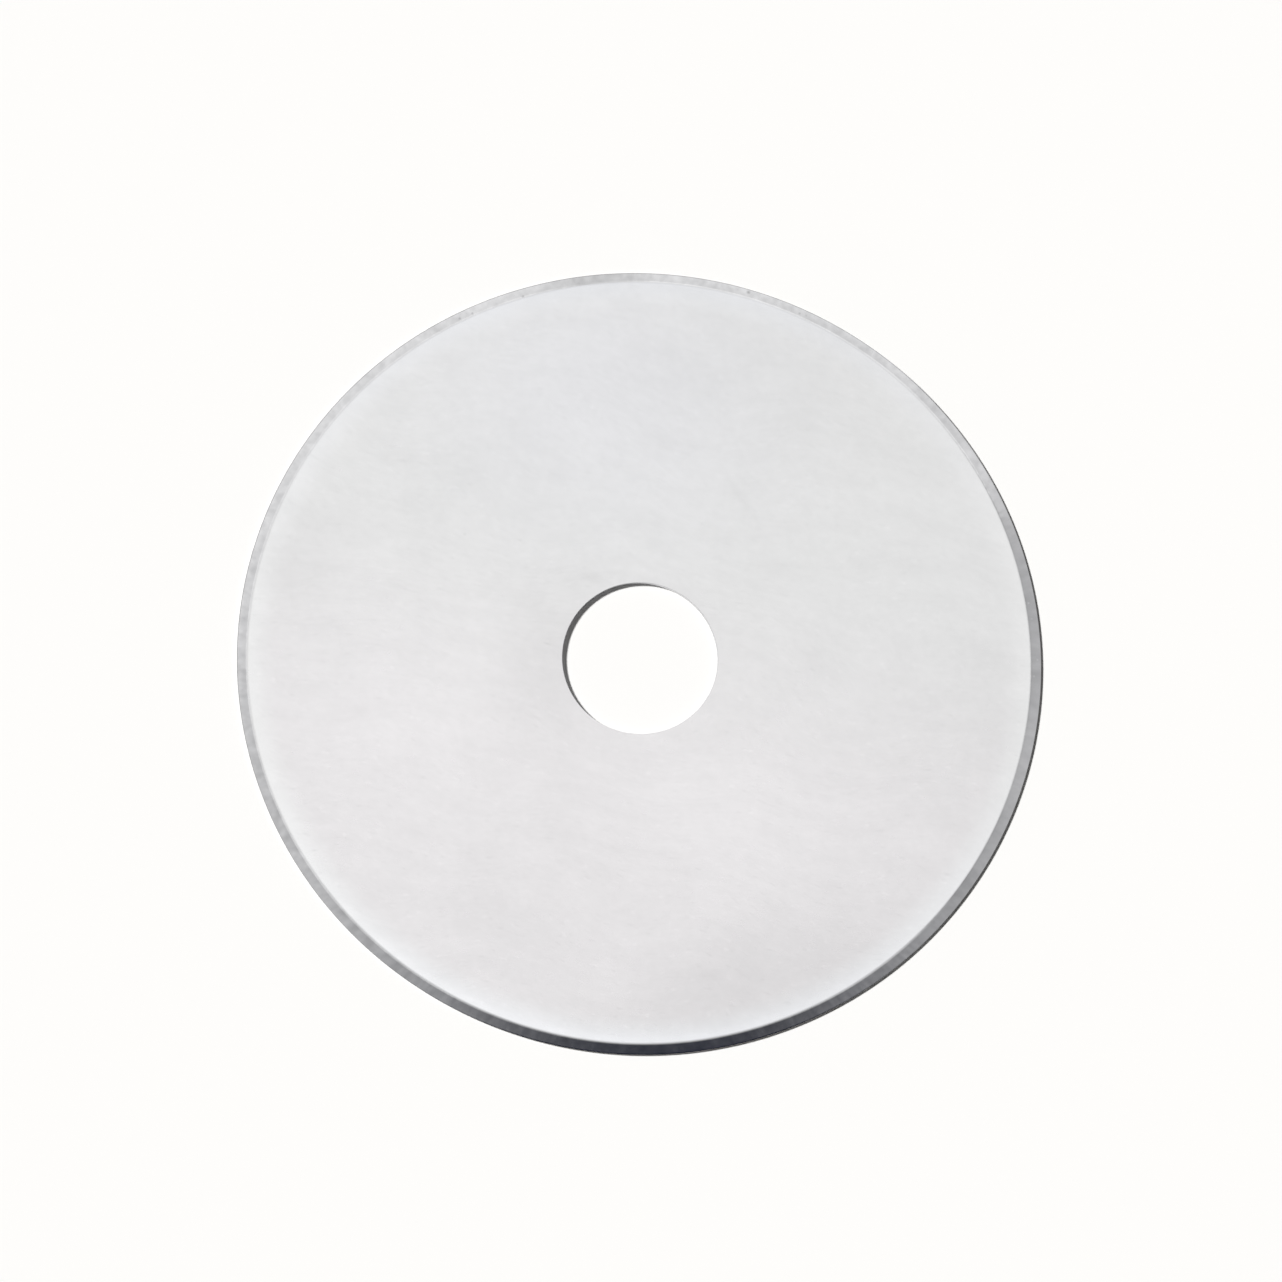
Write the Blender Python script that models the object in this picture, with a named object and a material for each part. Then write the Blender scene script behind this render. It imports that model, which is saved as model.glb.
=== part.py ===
"""A rotary cutter blade: a thin disc of hardened tool steel, bored to turn on the cutter's pin
and ground from both faces to a keen edge all round its rim.

It lies on its under face. The bore's axis is +Z, and the origin is where that axis meets the
under face. Lengths are in metres, angles in degrees.
"""

import math

import bmesh
import bpy

# The strip that the blank is punched from
STRIP_THICKNESS = 0.0003

# The punched blank
BLADE_DIAMETER = 0.045
BORE_DIAMETER = 0.0087
BORE_EDGE_BREAK = 0.00002

# The cutting edge, alike on both faces: each angle lies between the face and the facet
GRIND_ANGLE = 14.4
HONE_ANGLE = 21.0
HONE_WIDTH = 0.00004

# The round is drawn in this many steps, and edges sharper than this angle stay crisp
TURN_STEPS = 256
CRISP_ANGLE = 4.0

# Colour (linear), metallic and roughness of each finish, in the order of the material slots
FINISHES = {
    "ground_face": ((0.76, 0.76, 0.77, 1), 1.0, 0.34),
    "ground_bevel": ((0.70, 0.71, 0.72, 1), 1.0, 0.22),
    "punched_bore": ((0.42, 0.42, 0.43, 1), 1.0, 0.48),
}


def clear_scene():
    for thing in list(bpy.data.objects):
        bpy.data.objects.remove(thing, do_unlink=True)


def lower_half_section():
    """Radius and height along the section, from the foot of the bore wall out to the edge."""
    bore = BORE_DIAMETER / 2
    edge = BLADE_DIAMETER / 2
    edge_height = STRIP_THICKNESS / 2
    hone_start = edge - HONE_WIDTH
    hone_height = edge_height - HONE_WIDTH * math.tan(math.radians(HONE_ANGLE))
    grind_start = hone_start - hone_height / math.tan(math.radians(GRIND_ANGLE))
    return [
        (bore, BORE_EDGE_BREAK),
        (bore + BORE_EDGE_BREAK, 0),
        (grind_start, 0),
        (hone_start, hone_height),
        (edge, edge_height),
    ]


def blade_section():
    """The closed section: the lower half, then the same points mirrored up to the bore's head."""
    lower = lower_half_section()
    return lower + [(radius, STRIP_THICKNESS - height) for radius, height in lower[-2::-1]]


def finish_of(face):
    """The finish that a face has, told by where it lies and how it tilts."""
    from_axis = face.calc_center_median().xy.length
    if from_axis < BORE_DIAMETER / 2 + BORE_EDGE_BREAK:
        return "punched_bore"
    if abs(face.normal.z) > math.cos(math.radians(GRIND_ANGLE / 2)):
        return "ground_face"
    return "ground_bevel"


def turned_mesh(name, section):
    """The closed section turned once round the Z axis, its faces pointing out."""
    shape = bmesh.new()
    corners = [shape.verts.new((radius, 0, height)) for radius, height in section]
    sides = [shape.edges.new(ends) for ends in zip(corners, corners[1:] + corners[:1])]
    bmesh.ops.spin(
        shape,
        geom=corners + sides,
        cent=(0, 0, 0),
        axis=(0, 0, 1),
        angle=math.tau,
        steps=TURN_STEPS,
        use_merge=True,
    )
    bmesh.ops.recalc_face_normals(shape, faces=shape.faces)
    slots = list(FINISHES)
    for face in shape.faces:
        face.material_index = slots.index(finish_of(face))
    mesh = bpy.data.meshes.new(name)
    shape.to_mesh(mesh)
    shape.free()
    mesh.shade_smooth()
    mesh.set_sharp_from_angle(angle=math.radians(CRISP_ANGLE))
    return mesh


def steel(name, colour, metallic, roughness):
    material = bpy.data.materials.new(name)
    material.use_nodes = True
    shader = material.node_tree.nodes["Principled BSDF"]
    shader.inputs["Base Color"].default_value = colour
    shader.inputs["Metallic"].default_value = metallic
    shader.inputs["Roughness"].default_value = roughness
    return material


def rotary_blade():
    mesh = turned_mesh("rotary_blade", blade_section())
    for name, finish in FINISHES.items():
        mesh.materials.append(steel(name, *finish))
    blade = bpy.data.objects.new("rotary_blade", mesh)
    bpy.context.scene.collection.objects.link(blade)


clear_scene()
rotary_blade()
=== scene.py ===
"""The looks of a rotary cutter blade: ground steel, lying flat on a pale table in a plain studio.

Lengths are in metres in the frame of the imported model: +Z is the axis of the bore, and the blade
lies on z = 0. The camera looks down on it from the -Y side, which is called near below, with +Y
far, -X left and +X right.
"""

import math

import bpy
from mathutils import Matrix, Vector


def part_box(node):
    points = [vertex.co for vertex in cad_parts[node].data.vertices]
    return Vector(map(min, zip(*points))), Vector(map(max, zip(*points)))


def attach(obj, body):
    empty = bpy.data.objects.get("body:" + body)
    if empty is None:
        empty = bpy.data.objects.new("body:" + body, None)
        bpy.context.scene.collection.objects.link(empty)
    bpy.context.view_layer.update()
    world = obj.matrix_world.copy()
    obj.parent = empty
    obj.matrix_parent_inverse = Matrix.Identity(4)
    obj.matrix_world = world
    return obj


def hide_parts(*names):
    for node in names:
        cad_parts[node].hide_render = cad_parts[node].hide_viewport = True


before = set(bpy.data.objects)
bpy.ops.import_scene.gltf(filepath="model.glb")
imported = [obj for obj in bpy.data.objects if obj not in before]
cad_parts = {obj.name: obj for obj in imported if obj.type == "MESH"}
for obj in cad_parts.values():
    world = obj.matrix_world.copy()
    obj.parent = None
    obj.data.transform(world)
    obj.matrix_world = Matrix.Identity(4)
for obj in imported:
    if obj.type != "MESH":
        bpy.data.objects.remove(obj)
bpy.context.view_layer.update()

MM = 0.001

# The blade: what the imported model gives, and the sizes that its box doesn't
blade_low, blade_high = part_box("rotary_blade")
EDGE_RADIUS = (blade_high.x - blade_low.x) / 2
HALF_THICKNESS = (blade_high.z - blade_low.z) / 2
BORE_RADIUS = 4.35 * MM
GRIND_ANGLE = math.radians(14.4)
HONE_ANGLE = math.radians(21)
HONE_WIDTH = 0.04 * MM
HONE_START = EDGE_RADIUS - HONE_WIDTH
HONE_HEIGHT = HONE_WIDTH * math.tan(HONE_ANGLE)
BEVEL_START = HONE_START - (HALF_THICKNESS - HONE_HEIGHT) / math.tan(GRIND_ANGLE)

# Tumbling leaves the edges of the bore rounded by this much
BORE_EDGE_BREAK = 0.02 * MM

# Grinding leaves the corner between face and bevel a little round: this far to either side of it
CORNER_REACH = 0.07 * MM

# A flat strip this wide beside each round keeps the smooth shading from creeping onto the flat
FLAT_STRIP = 0.02 * MM

# How finely the round and its section are drawn, and how close together two points are one
TURN_STEPS = 720
BREAK_STEPS = 4
FACE_STEPS = 5
CORNER_STEPS = 4
SAME_PLACE = 0.001 * MM

# The face's finish has the first material slot, and these two follow
BEVEL_SLOT, BORE_SLOT = 1, 2

# The table's side, and how far it lies below the blade, so that the two don't share a plane
TABLE_SIZE = 2.0
TABLE_GAP = 0.002 * MM
TABLE_WHITE = "#FCFBF9"

# The camera: how far it stands from the blade, tipped from straight above towards -Y, and turned
# about its own view. The shift is of the whole camera, in its own plane before that turn.
CAMERA_DISTANCE = 424.7 * MM
CAMERA_TILT = math.radians(14.361)
CAMERA_ROLL = math.radians(11.236)
CAMERA_SHIFT = (-0.136 * MM, 1.026 * MM)
CAMERA_CLIP_START = 10 * MM

# Its sensor and its long lens, both in mm
SENSOR_WIDTH = 36.0
LENS = 213.3

# The key light: fairly crisp and from the left, as the thin shadow inside the bore shows
TO_KEY_LIGHT = Vector((-0.705, 0.137, 0.695))
KEY_STRENGTH = 4.2
KEY_ANGLE = math.radians(10)

# The room as the steel reflects it: a grey dome with lighter and darker parts, each a round patch
# about a direction (x, y), out to a reach and fading over a fade, both as lengths on a unit ball,
# then its colour and its level
DOME = "#BCBCBD"
SKY_PATCHES = [
    ("ceiling", (-0.007, 0.272), 0.484, 0.08, "#FFFFFF", 1.12),
    ("shaded_wall", (0.42, 0.264), 0.23, 0.08, "#BFBFC0", 1.0),
    ("camera_side", (0.205, -0.532), 0.209, 0.539, "#020B24", 1.0),
]

# The level of the even sky that matte surfaces get, and of the one that the camera sees
DIFFUSE_SKY = 0.09
CAMERA_SKY = 1.0

# The ground face: its colour, its roughness and how far the strokes swing that, and their depth
FACE_STEEL = "#E1E1E1"
FACE_ROUGHNESS = 0.26
FACE_SWING = 0.02
STROKE_DEPTH = 0.0008 * MM

# How far the strokes sway to either side, and how strong they are at the far and the near rim
STROKE_SWAY = 1.0 * MM
STROKES_FAR, STROKES_NEAR = 0.5, 1.2

# The bright margin beside the bevel, a painted sheen, comes in from the first radius to the second.
# Its strength is that of the middle, and changes by the swing up to the near rim and down to the
# far one.
MARGIN_FROM, MARGIN_TO = 20.2 * MM, 22.0 * MM
MARGIN_MIDDLE = 0.55
MARGIN_SWING = 0.45

# The painted highlight line that ends the painted margin on the near side
LINE_FROM, LINE_TO = 21.3 * MM, 21.75 * MM

# Painted tints of reflected light. The warm tint comes in over this height in Y. The blue in the
# margin is strongest at the two ends of this axis, which leans a little to the left of Y.
WARM_FROM, WARM_TO = 8 * MM, -8 * MM
COOL_AXIS = (-0.27, 0.96)

# The near side begins this share of the radius away from the middle, and is full at the rim
NEAR_SIDE_START = 0.4

# Painted shade at the corner between face and bevel: how far from it the shade reaches, the light
# lost there, how much more or less of it at the left and right, and more at the near rim
CORNER_SHADE_REACH = 0.12 * MM
CORNER_SHADE_SHARE = -0.11
CORNER_SHADE_LEFT = 0.5
CORNER_SHADE_NEAR = 2.0

# The ground bevel: its colour, its roughness and how far the mottling swings that, and its depth
BEVEL_STEEL = "#E4E4E5"
BEVEL_ROUGHNESS = 0.12
BEVEL_SWING = 0.015
MOTTLE_DEPTH = 0.0013 * MM

# A painted sheen: the bevel grows brighter from the first radius out to the second
OUTWARD_FROM, OUTWARD_TO = 21.95 * MM, 22.45 * MM

# The bore wall, torn below and burnished above. One gives way to the other between these heights.
TORN_STEEL, BURNISHED_STEEL = "#CACACC", "#E0E0E2"
TORN_ROUGHNESS, BURNISHED_ROUGHNESS = 0.5, 0.28
TORN_UP_TO, BURNISHED_FROM = 0.16 * MM, 0.2 * MM
DRAG_DEPTH = 0.001 * MM

# Broad tones of the ground face, each an oval: its middle and half its length and width in mm,
# how far it leans from X in degrees, and how much more light it gives back. The four along the
# edges are painted shade, just inside the painted margin.
FACE_TONES = [
    ("painted_shade_near_edge", (10, -17.5), (15, 6), 33, -0.08),
    ("darker_near_left", (-3, -16.5), (7, 3), -10, -0.025),
    ("painted_shade_right_edge", (20, -1), (10, 5), 90, -0.025),
    ("painted_shade_far_edge", (3, 17.5), (15, 8), -5, -0.035),
    ("darker_far_left", (-12, 9), (8, 6), 30, -0.015),
    ("painted_shade_left_edge", (-20, 2), (7, 4), 90, -0.03),
    ("darker_by_bore", (-5, -1), (8, 4.5), 90, -0.045),
    ("bright_left", (-11, -6), (12, 10), 90, 0.035),
    ("bright_below_bore", (6.5, -8), (10, 7), 0, 0.045),
]

# Smears, scratches and specks on the face, given in the same way
FACE_BLEMISHES = [
    ("smear_far_right", (3.7, 10.4), (2.8, 0.45), -44, -0.035),
    ("smear_by_bore", (-3.4, 4.0), (1.1, 0.5), -10, -0.05),
    ("smear_near", (7.25, -16.95), (1.2, 0.5), 20, -0.03),
    ("scratch_left", (-5.23, -0.23), (0.35, 0.09), -5, -0.07),
    ("speck_far_left", (-10.99, 5.06), (0.12, 0.12), 0, -0.09),
    ("speck_left", (-7.88, 5.34), (0.14, 0.1), 0, -0.07),
]

# Darker and brighter stretches of the bevel, its pits and its nicks: azimuth in degrees, radius
# and half its size in mm, and how much more light it gives back
BEVEL_MARKS = [
    (-109, 22.2, 4.0, 0.16),
    (-19, 22.2, 4.0, -0.08),
    (84, 22.2, 3.5, 0.08),
    (108, 22.2, 5.0, -0.155),
    (138, 22.2, 6.0, -0.045),
    (49, 22.2, 7.0, -0.035),
    (-148, 22.2, 5.0, -0.07),
    (152.1, 22.2, 0.4, -0.06),
    (149.5, 22.1, 0.3, -0.06),
    (128.3, 22.13, 0.12, -0.26),
    (126.3, 22.09, 0.12, -0.26),
    (118.4, 22.0, 0.12, -0.28),
    (84.9, 22.3, 0.16, -0.35),
    (76.8, 22.15, 0.12, -0.2),
    (75.8, 22.2, 0.12, -0.15),
    (19.9, 22.1, 0.09, 0.2),
    (17.5, 22.15, 0.09, 0.15),
    (11.4, 22.3, 0.09, 0.15),
    (8.9, 22.1, 0.09, 0.2),
]

# Mix nodes name their colour sockets alike, so they are told by number
MIX_FACTOR, MIX_A, MIX_B, MIX_RESULT = 0, 6, 7, 2


def linear(hex_colour, strength=1.0):
    """An sRGB hex colour as linear red, green, blue and alpha."""
    channels = [int(hex_colour[i : i + 2], 16) / 255 for i in (1, 3, 5)]
    lit = [c / 12.92 if c <= 0.04045 else ((c + 0.055) / 1.055) ** 2.4 for c in channels]
    return tuple(c * strength for c in lit) + (1.0,)


def add_node(tree, kind, inputs=None, **settings):
    """Adds a node with its settings. Each input is a value or another node's output."""
    added = tree.nodes.new("ShaderNode" + kind)
    for name, value in settings.items():
        setattr(added, name, value)
    for socket, value in (inputs or {}).items():
        if isinstance(value, bpy.types.NodeSocket):
            tree.links.new(value, added.inputs[socket])
        else:
            added.inputs[socket].default_value = value
    return added


# The shape


def section_rings():
    """Radius and height over the mid-plane of each ring, from the bore wall to the keen edge."""
    rings = [(BORE_RADIUS, 0)]
    for step in range(BREAK_STEPS + 1):
        turn = math.pi / 2 * step / BREAK_STEPS
        out = BORE_EDGE_BREAK * (1 - math.cos(turn))
        down = BORE_EDGE_BREAK * (1 - math.sin(turn))
        rings.append((BORE_RADIUS + out, HALF_THICKNESS - down))

    corner_start = BEVEL_START - CORNER_REACH
    corner_radius = CORNER_REACH / math.tan(GRIND_ANGLE / 2)

    flat_start = BORE_RADIUS + BORE_EDGE_BREAK + FLAT_STRIP
    flat_end = corner_start - FLAT_STRIP
    for step in range(FACE_STEPS + 1):
        share = step / FACE_STEPS
        rings.append((flat_start + (flat_end - flat_start) * share, HALF_THICKNESS))
    for step in range(CORNER_STEPS + 1):
        turn = GRIND_ANGLE * step / CORNER_STEPS
        down = corner_radius * (1 - math.cos(turn))
        rings.append((corner_start + corner_radius * math.sin(turn), HALF_THICKNESS - down))
    corner_end, corner_height = rings[-1]
    strip_drop = FLAT_STRIP * math.tan(GRIND_ANGLE)
    rings.append((corner_end + FLAT_STRIP, corner_height - strip_drop))
    rings.append((HONE_START, HONE_HEIGHT))
    rings.append((EDGE_RADIUS, 0))
    return rings


def ground_blade():
    """Draws the upper half out from a ring at the bore, mirrors it and seats it on the table."""
    rings = section_rings()
    bpy.ops.object.select_all(action="DESELECT")
    bpy.ops.mesh.primitive_circle_add(
        vertices=TURN_STEPS, radius=rings[0][0], fill_type="NOTHING", location=(0, 0, 0)
    )
    blade = bpy.context.object
    blade.name = "ground_blade"

    bpy.ops.object.mode_set(mode="EDIT")
    bpy.ops.mesh.select_all(action="SELECT")
    for (radius, height), (next_radius, next_height) in zip(rings, rings[1:]):
        rise = (0, 0, next_height - height)
        bpy.ops.mesh.extrude_edges_move(TRANSFORM_OT_translate={"value": rise})
        grow = next_radius / radius
        bpy.ops.transform.resize(value=(grow, grow, 1), center_override=(0, 0, 0))
    bpy.ops.object.mode_set(mode="OBJECT")

    mirror = blade.modifiers.new("lower_half", "MIRROR")
    mirror.use_axis = (False, False, True)
    mirror.merge_threshold = SAME_PLACE
    bpy.ops.object.modifier_apply(modifier=mirror.name)

    bpy.ops.object.mode_set(mode="EDIT")
    bpy.ops.mesh.select_all(action="SELECT")
    bpy.ops.mesh.normals_make_consistent(inside=False)
    bpy.ops.transform.translate(value=(0, 0, HALF_THICKNESS))
    bpy.ops.object.mode_set(mode="OBJECT")

    finish_faces(blade)
    mark_crisp(blade, [HONE_START, EDGE_RADIUS])
    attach(blade, "root")
    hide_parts("rotary_blade")


def finish_faces(blade):
    """Gives the faces, the bevels and the bore wall each its own finish."""
    for finish in (surface_ground_face(), wheel_ground_bevel(), punched_bore_wall()):
        blade.data.materials.append(finish)
    for face in blade.data.polygons:
        face.use_smooth = True
        from_axis = face.center.xy.length
        if from_axis < BORE_RADIUS + BORE_EDGE_BREAK:
            face.material_index = BORE_SLOT
        elif from_axis > BEVEL_START:
            face.material_index = BEVEL_SLOT


def mark_crisp(blade, radii):
    """Keeps the lines where two ground faces meet sharp under the smooth shading."""
    corners = blade.data.vertices
    for edge in blade.data.edges:
        ends = [corners[i].co.xy.length for i in edge.vertices]
        edge.use_edge_sharp = any(
            all(abs(end - radius) < SAME_PLACE for end in ends) for radius in radii
        )


# The finishes


def new_steel(name):
    """A bare metal with its node tree, its shader and where on the blade a point lies."""
    material = bpy.data.materials.new(name)
    material.use_nodes = True
    tree = material.node_tree
    shader = tree.nodes["Principled BSDF"]
    shader.inputs["Metallic"].default_value = 1.0
    place = add_node(tree, "TexCoord").outputs["Object"]
    return material, tree, shader, place


def grain(tree, place, cell, lean=0.0, detail=2.0, low=0.25, high=0.75, rest=-1.0):
    """Uneven grain whose cells have this size in mm: from rest, at a low place, up to 1."""
    size = tuple(side * MM for side in cell)
    turned = add_node(
        tree,
        "Mapping",
        {"Vector": place, "Rotation": (0, 0, math.radians(lean)), "Scale": size},
        vector_type="TEXTURE",
    )
    noise = add_node(
        tree,
        "TexNoise",
        {"Vector": turned.outputs["Vector"], "Scale": 1.0, "Detail": detail, "Roughness": 0.5},
    )
    spread = add_node(
        tree,
        "MapRange",
        {
            "Value": noise.outputs["Fac"],
            "From Min": low,
            "From Max": high,
            "To Min": rest,
            "To Max": 1.0,
        },
    )
    return spread.outputs["Result"]


def oval(tree, place, middle, half_size, lean=0.0, label=""):
    """How far inside an oval a point lies: 1 at its middle, 0 from its rim on. Sizes in mm."""
    local = add_node(
        tree,
        "Mapping",
        {
            "Vector": place,
            "Location": (middle[0] * MM, middle[1] * MM, 0),
            "Rotation": (0, 0, math.radians(lean)),
            "Scale": (half_size[0] * MM, half_size[1] * MM, 1),
        },
        vector_type="TEXTURE",
        label=label,
    )
    out = add_node(tree, "VectorMath", {0: local.outputs["Vector"]}, operation="LENGTH")
    inside = add_node(
        tree,
        "MapRange",
        {"Value": out.outputs["Value"], "To Min": 1.0, "To Max": 0.0},
        interpolation_type="SMOOTHSTEP",
    )
    return inside.outputs["Result"]


def shaded(tree, colour, marks):
    """A colour made lighter or darker by marks, each a socket and the share of light at its 1."""
    tone = 1.0
    for mark, share in marks:
        step = add_node(tree, "Math", {0: mark, 1: share, 2: tone}, operation="MULTIPLY_ADD")
        tone = step.outputs["Value"]
    lit = add_node(tree, "VectorMath", {0: colour, "Scale": tone}, operation="SCALE")
    return lit.outputs["Vector"]


def near_side(tree, place):
    """How far towards the near side of the blade a point lies, from 0 up to 1 at the rim."""
    along = add_node(tree, "SeparateXYZ", {0: place})
    near = add_node(
        tree,
        "MapRange",
        {
            "Value": along.outputs["Y"],
            "From Min": -NEAR_SIDE_START * EDGE_RADIUS,
            "From Max": -EDGE_RADIUS,
        },
        interpolation_type="SMOOTHSTEP",
    )
    return near.outputs["Result"]


def painted_corner_shade(tree, place):
    """Painted shade at the corner between face and bevel: most on the left and the near side."""
    from_axis = add_node(tree, "VectorMath", {0: place}, operation="LENGTH")
    past = add_node(
        tree, "Math", {0: from_axis.outputs["Value"], 1: BEVEL_START}, operation="SUBTRACT"
    )
    away = add_node(tree, "Math", {0: past.outputs["Value"]}, operation="ABSOLUTE")
    line = add_node(
        tree,
        "MapRange",
        {"Value": away.outputs["Value"], "From Max": CORNER_SHADE_REACH, "To Min": 1.0, "To Max": 0.0},
        interpolation_type="SMOOTHSTEP",
    )
    across = add_node(tree, "SeparateXYZ", {0: place})
    side = add_node(
        tree,
        "Math",
        {0: across.outputs["X"], 1: -CORNER_SHADE_LEFT / EDGE_RADIUS, 2: 1.0},
        operation="MULTIPLY_ADD",
    )
    most = add_node(
        tree,
        "Math",
        {0: near_side(tree, place), 1: CORNER_SHADE_NEAR, 2: side.outputs["Value"]},
        operation="MULTIPLY_ADD",
    )
    corner_shade = add_node(
        tree, "Math", {0: line.outputs["Result"], 1: most.outputs["Value"]}, operation="MULTIPLY"
    )
    return corner_shade.outputs["Value"]


def surface_ground_face():
    """Hardened carbon tool steel, surface-ground: a pale satin sheen, with faint short strokes
    along X and the smears of handling. Painted on it: a sheen as a brighter margin by the bevel, a
    highlight line, shade by the rim and at the corner, and tints of reflected light."""
    material, tree, shader, place = new_steel("surface_ground_tool_steel")
    along = add_node(tree, "SeparateXYZ", {0: place})

    # The wheel's strokes lean a little to either side of X, over some 9 mm
    sway = grain(tree, place, (9, 9, 9), detail=0.0)
    sideways = add_node(tree, "Math", {0: sway, 1: STROKE_SWAY}, operation="MULTIPLY")
    offset = add_node(tree, "CombineXYZ", {"Y": sideways.outputs["Value"]})
    swayed = add_node(tree, "VectorMath", {0: place, 1: offset.outputs["Vector"]}, operation="ADD")
    stroke_place = swayed.outputs["Vector"]

    # A 60 grit wheel leaves strokes about 0.05 mm wide. They are drawn 0.15 mm wide, to show.
    fine = grain(tree, stroke_place, (0.8, 0.3, 0.3), detail=1.5)
    broad = grain(tree, stroke_place, (3.6, 0.9, 0.9), detail=1.0)
    blotches = grain(tree, place, (0.6, 0.5, 0.5), lean=-30)
    clouds = grain(tree, place, (2.6, 2.2, 2.2), lean=-40, detail=1.0)
    dashed = {"lean": -4, "detail": 1.0, "rest": 0.0}
    dark_dashes = grain(tree, stroke_place, (0.6, 0.22, 0.3), low=0.62, high=0.78, **dashed)
    light_dashes = grain(tree, stroke_place, (0.5, 0.24, 0.5), low=0.64, high=0.8, **dashed)

    # The strokes show less towards the far side, where the light runs along them
    near = add_node(
        tree,
        "MapRange",
        {
            "Value": along.outputs["Y"],
            "From Min": EDGE_RADIUS,
            "From Max": -EDGE_RADIUS,
            "To Min": STROKES_FAR,
            "To Max": STROKES_NEAR,
        },
    )
    patchy = grain(tree, place, (6, 5, 5), detail=0.0, rest=0.6)
    depth = add_node(tree, "Math", {0: near.outputs["Result"], 1: patchy}, operation="MULTIPLY")
    weighed = [
        add_node(tree, "Math", {0: mark, 1: depth.outputs["Value"]}, operation="MULTIPLY")
        for mark in (fine, dark_dashes, light_dashes)
    ]
    fine, dark_dashes, light_dashes = (node.outputs["Value"] for node in weighed)

    # A painted sheen: a brighter margin on the face by the bevel, most on the near side
    from_axis = add_node(tree, "VectorMath", {0: place}, operation="LENGTH")
    margin = add_node(
        tree,
        "MapRange",
        {"Value": from_axis.outputs["Value"], "From Min": MARGIN_FROM, "From Max": MARGIN_TO},
        interpolation_type="SMOOTHSTEP",
    )
    nearness = add_node(
        tree,
        "Math",
        {0: along.outputs["Y"], 1: -MARGIN_SWING / EDGE_RADIUS, 2: MARGIN_MIDDLE},
        operation="MULTIPLY_ADD",
    )
    margin_sheen = add_node(
        tree,
        "Math",
        {0: margin.outputs["Result"], 1: nearness.outputs["Value"]},
        operation="MULTIPLY",
    )

    # On the near side the painted margin ends in a painted highlight line
    last = add_node(
        tree,
        "MapRange",
        {"Value": from_axis.outputs["Value"], "From Min": LINE_FROM, "From Max": LINE_TO},
        interpolation_type="SMOOTHSTEP",
    )
    painted_highlight_line = add_node(
        tree, "Math", {0: last.outputs["Result"], 1: near_side(tree, place)}, operation="MULTIPLY"
    )

    # Painted tints of reflected light: a breath of warmth over the near half, and of blue at the
    # far left. The margin is neutral, and a little blue at its near and far ends.
    warmth = add_node(
        tree,
        "MapRange",
        {"Value": along.outputs["Y"], "From Min": WARM_FROM, "From Max": WARM_TO},
        interpolation_type="SMOOTHSTEP",
    )
    blue = oval(tree, place, (-5, 15), (17, 14))
    across = add_node(
        tree,
        "VectorMath",
        {0: place, 1: (COOL_AXIS[0] / EDGE_RADIUS, COOL_AXIS[1] / EDGE_RADIUS, 0)},
        operation="DOT_PRODUCT",
    )
    ends = add_node(tree, "Math", {0: across.outputs["Value"], 1: 2.0}, operation="POWER")
    cool = add_node(
        tree,
        "Math",
        {0: margin.outputs["Result"], 1: ends.outputs["Value"]},
        operation="MULTIPLY",
    )
    tints = [
        (warmth.outputs["Result"], "#E4E2E3"),
        (blue, "#E1E1E3"),
        (margin.outputs["Result"], "#E2E2E2"),
        (cool.outputs["Value"], "#E1E2E5"),
    ]
    steel = linear(FACE_STEEL)
    for share, tint in tints:
        blend = add_node(
            tree,
            "Mix",
            {MIX_FACTOR: share, MIX_A: steel, MIX_B: linear(tint)},
            data_type="RGBA",
        )
        steel = blend.outputs[MIX_RESULT]

    marks = [
        (fine, 0.026),
        (broad, 0.017),
        (blotches, 0.015),
        (clouds, 0.011),
        (dark_dashes, -0.045),
        (light_dashes, 0.04),
        # Painted sheen of the margin and the painted highlight line
        (margin_sheen.outputs["Value"], 0.13),
        (painted_highlight_line.outputs["Value"], 0.045),
        # Painted shade at the corner between face and bevel
        (painted_corner_shade(tree, place), CORNER_SHADE_SHARE),
    ]
    for name, middle, half_size, lean, share in FACE_TONES + FACE_BLEMISHES:
        marks.append((oval(tree, place, middle, half_size, lean, label=name), share))
    tree.links.new(shaded(tree, steel, marks), shader.inputs["Base Color"])

    sheen = add_node(
        tree, "Math", {0: fine, 1: FACE_SWING, 2: FACE_ROUGHNESS}, operation="MULTIPLY_ADD"
    )
    tree.links.new(sheen.outputs["Value"], shader.inputs["Roughness"])
    relief = add_node(tree, "Bump", {"Height": fine, "Strength": 1.0, "Distance": STROKE_DEPTH})
    tree.links.new(relief.outputs["Normal"], shader.inputs["Normal"])
    return material


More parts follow.
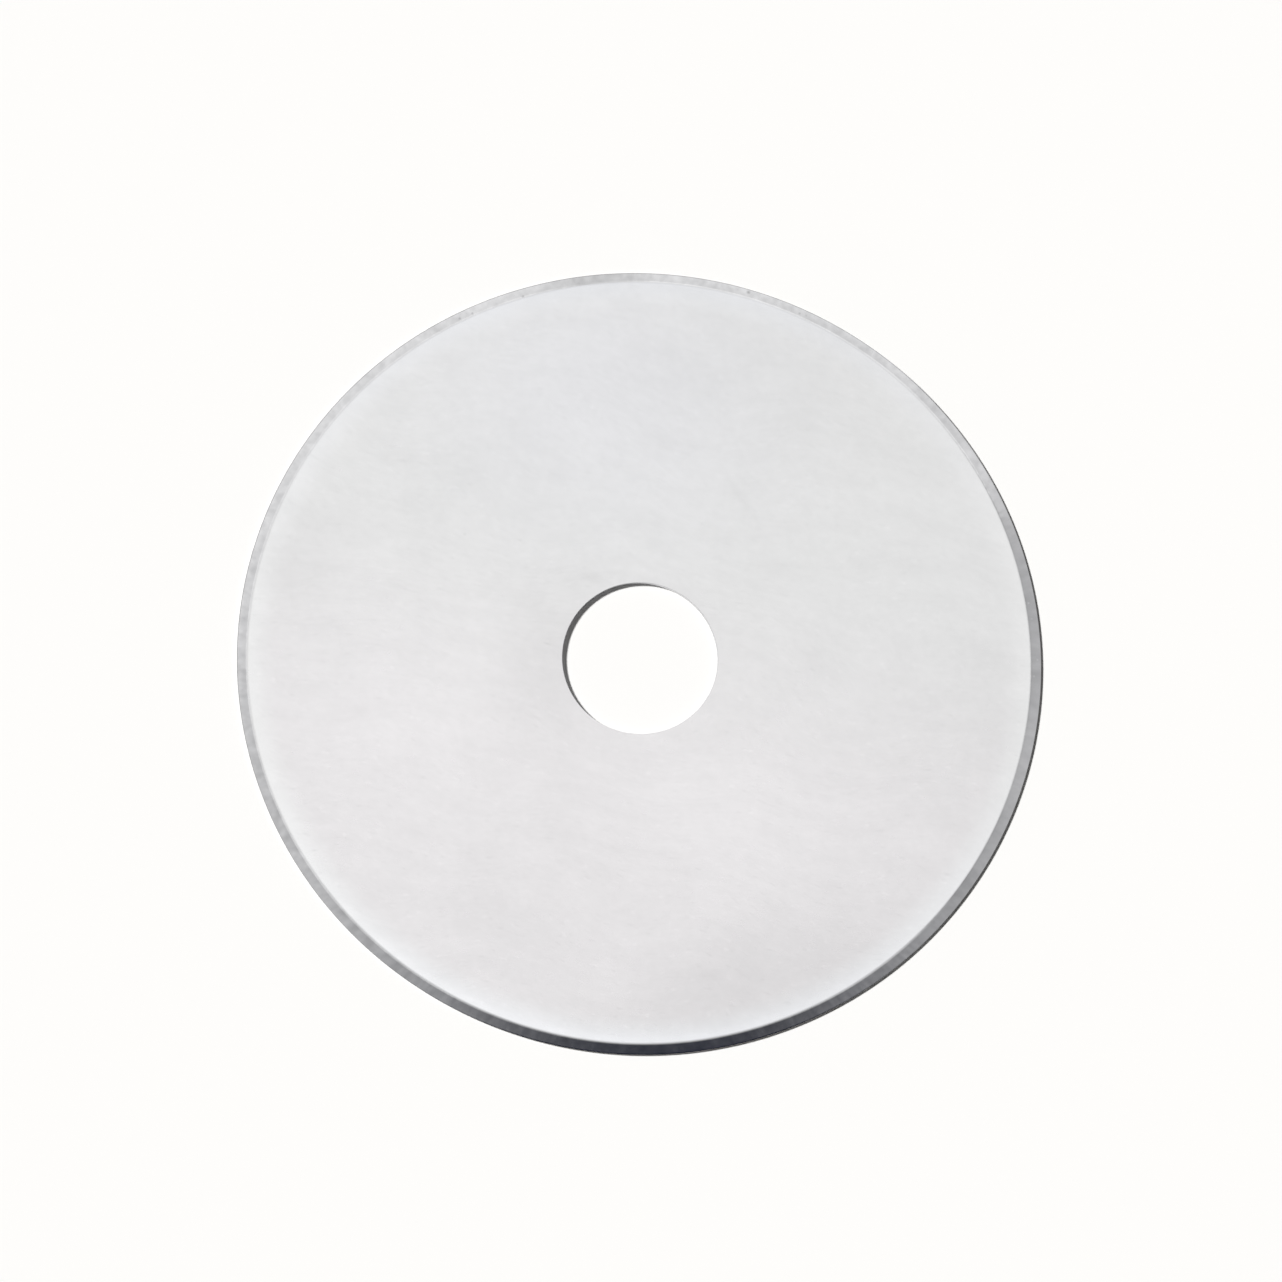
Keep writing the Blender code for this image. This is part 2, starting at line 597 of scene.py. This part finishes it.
def wheel_ground_bevel():
    """The same steel cut by a fine wheel across the edge: sharper in its sheen, faintly mottled,
    with a few pits and nicks. Painted on it: a sheen brighter towards the keen edge, and shade at
    the corner."""
    material, tree, shader, place = new_steel("wheel_ground_tool_steel")

    # Where a point lies along the rim, and how far out, so that the marks run across the edge
    from_axis = add_node(tree, "VectorMath", {0: place}, operation="LENGTH")
    out = add_node(tree, "CombineXYZ", {"Z": from_axis.outputs["Value"]})
    towards = add_node(tree, "VectorMath", {0: place}, operation="NORMALIZE")
    round_rim = (EDGE_RADIUS, EDGE_RADIUS, 0)
    rim_place = add_node(
        tree,
        "VectorMath",
        {0: towards.outputs["Vector"], 1: round_rim, 2: out.outputs["Vector"]},
        operation="MULTIPLY_ADD",
    ).outputs["Vector"]

    # The wheel's chatter mottles the bevel about every 0.5 mm round the rim, in patches that run
    # most of the way across it
    mottle = grain(tree, rim_place, (0.5, 0.5, 0.9), detail=1.0)
    drift = grain(tree, rim_place, (4, 4, 4), detail=1.0)
    # Painted sheen, brighter towards the keen edge
    outward = add_node(
        tree,
        "MapRange",
        {
            "Value": from_axis.outputs["Value"],
            "From Min": OUTWARD_FROM,
            "From Max": OUTWARD_TO,
            "To Min": -1.0,
            "To Max": 1.0,
        },
    )
    marks = [
        (mottle, 0.07),
        (drift, 0.075),
        (outward.outputs["Result"], 0.04),
        # Painted shade at the corner between face and bevel
        (painted_corner_shade(tree, place), CORNER_SHADE_SHARE),
    ]
    for azimuth, radius, half_size, share in BEVEL_MARKS:
        turn = math.radians(azimuth)
        middle = (radius * math.cos(turn), radius * math.sin(turn))
        marks.append((oval(tree, place, middle, (half_size, half_size)), share))
    steel = linear(BEVEL_STEEL)[:3]
    tree.links.new(shaded(tree, steel, marks), shader.inputs["Base Color"])

    sheen = add_node(
        tree, "Math", {0: mottle, 1: BEVEL_SWING, 2: BEVEL_ROUGHNESS}, operation="MULTIPLY_ADD"
    )
    tree.links.new(sheen.outputs["Value"], shader.inputs["Roughness"])
    relief = add_node(tree, "Bump", {"Height": mottle, "Strength": 1.0, "Distance": MOTTLE_DEPTH})
    tree.links.new(relief.outputs["Normal"], shader.inputs["Normal"])
    return material


def punched_bore_wall():
    """The sheared wall of the bore: burnished by the punch at its head, and torn dull below."""
    material, tree, shader, place = new_steel("sheared_tool_steel")
    up = add_node(tree, "SeparateXYZ", {0: place})
    burnished = add_node(
        tree,
        "MapRange",
        {"Value": up.outputs["Z"], "From Min": TORN_UP_TO, "From Max": BURNISHED_FROM},
        interpolation_type="SMOOTHSTEP",
    )
    steel = add_node(
        tree,
        "Mix",
        {
            MIX_FACTOR: burnished.outputs["Result"],
            MIX_A: linear(TORN_STEEL),
            MIX_B: linear(BURNISHED_STEEL),
        },
        data_type="RGBA",
    )

    # The punch drags fine lines down the wall, about 0.06 mm apart
    drags = grain(tree, place, (0.06, 0.06, 0.8))
    tree.links.new(
        shaded(tree, steel.outputs[MIX_RESULT], [(drags, 0.06)]), shader.inputs["Base Color"]
    )
    dull = add_node(
        tree,
        "MapRange",
        {
            "Value": burnished.outputs["Result"],
            "To Min": TORN_ROUGHNESS,
            "To Max": BURNISHED_ROUGHNESS,
        },
    )
    tree.links.new(dull.outputs["Result"], shader.inputs["Roughness"])
    relief = add_node(tree, "Bump", {"Height": drags, "Strength": 1.0, "Distance": DRAG_DEPTH})
    tree.links.new(relief.outputs["Normal"], shader.inputs["Normal"])
    return material


# The table, the light and the camera


def pale_table():
    """A matte white table top for the blade to lie on."""
    bpy.ops.object.select_all(action="DESELECT")
    bpy.ops.mesh.primitive_plane_add(size=TABLE_SIZE, location=(0, 0, -TABLE_GAP))
    table = bpy.context.object
    table.name = "pale_table"
    material = bpy.data.materials.new("matte_white_board")
    material.use_nodes = True
    shader = material.node_tree.nodes["Principled BSDF"]
    shader.inputs["Base Color"].default_value = linear(TABLE_WHITE)
    shader.inputs["Roughness"].default_value = 1.0
    shader.inputs["Specular IOR Level"].default_value = 0.0
    table.data.materials.append(material)


def key_light():
    """The one lamp. The steel reflects the room and not the lamp, so it leaves no hot spot."""
    lamp = bpy.data.lights.new("key", "SUN")
    lamp.energy = KEY_STRENGTH
    lamp.angle = KEY_ANGLE
    key = bpy.data.objects.new("key", lamp)
    key.rotation_euler = TO_KEY_LIGHT.to_track_quat("Z", "Y").to_euler()
    key.visible_glossy = False
    bpy.context.scene.collection.objects.link(key)


def studio_sky():
    """White to the camera, dim to matte surfaces, and a room with light and dark parts to metal."""
    world = bpy.data.worlds.new("studio")
    world.use_nodes = True
    bpy.context.scene.world = world
    tree = world.node_tree
    direction = add_node(tree, "TexCoord").outputs["Generated"]
    seen = linear(DOME)
    for name, (x, y), reach, fade, colour, level in SKY_PATCHES:
        centre = (x, y, math.sqrt(1 - x * x - y * y))
        away = add_node(tree, "VectorMath", {0: direction, 1: centre}, operation="DISTANCE")
        inside = add_node(
            tree,
            "MapRange",
            {
                "Value": away.outputs["Value"],
                "From Min": reach,
                "From Max": reach + fade,
                "To Min": 1.0,
                "To Max": 0.0,
            },
            interpolation_type="SMOOTHSTEP",
        )
        patch = add_node(
            tree,
            "Mix",
            {MIX_FACTOR: inside.outputs["Result"], MIX_A: seen, MIX_B: linear(colour, level)},
            data_type="RGBA",
            label=name,
        )
        seen = patch.outputs[MIX_RESULT]
    path = add_node(tree, "LightPath")
    light = (DIFFUSE_SKY, DIFFUSE_SKY, DIFFUSE_SKY, 1.0)
    white = (CAMERA_SKY, CAMERA_SKY, CAMERA_SKY, 1.0)
    for ray, colour in (("Is Glossy Ray", seen), ("Is Camera Ray", white)):
        choice = add_node(
            tree,
            "Mix",
            {MIX_FACTOR: path.outputs[ray], MIX_A: light, MIX_B: colour},
            data_type="RGBA",
        )
        light = choice.outputs[MIX_RESULT]
    tree.links.new(light, tree.nodes["Background"].inputs["Color"])


def camera_over_the_blade():
    """The photo's view: tipped from straight above, and then turned about its own line of sight."""
    back = Vector((0, -math.sin(CAMERA_TILT), math.cos(CAMERA_TILT)))
    right = Vector((1, 0, 0))
    up = back.cross(right)
    place = back * CAMERA_DISTANCE + right * CAMERA_SHIFT[0] + up * CAMERA_SHIFT[1]
    rolled_right = right * math.cos(CAMERA_ROLL) + up * math.sin(CAMERA_ROLL)
    rolled_up = up * math.cos(CAMERA_ROLL) - right * math.sin(CAMERA_ROLL)
    data = bpy.data.cameras.new("camera")
    data.sensor_width = SENSOR_WIDTH
    data.lens = LENS
    data.clip_start = CAMERA_CLIP_START
    camera = bpy.data.objects.new("camera", data)
    axes = Matrix((rolled_right, rolled_up, back)).transposed().to_4x4()
    camera.matrix_world = Matrix.Translation(place) @ axes
    bpy.context.scene.collection.objects.link(camera)
    bpy.context.scene.camera = camera


bpy.context.scene.view_settings.view_transform = "Standard"
ground_blade()
pale_table()
key_light()
studio_sky()
camera_over_the_blade()

bpy.context.view_layer.update()
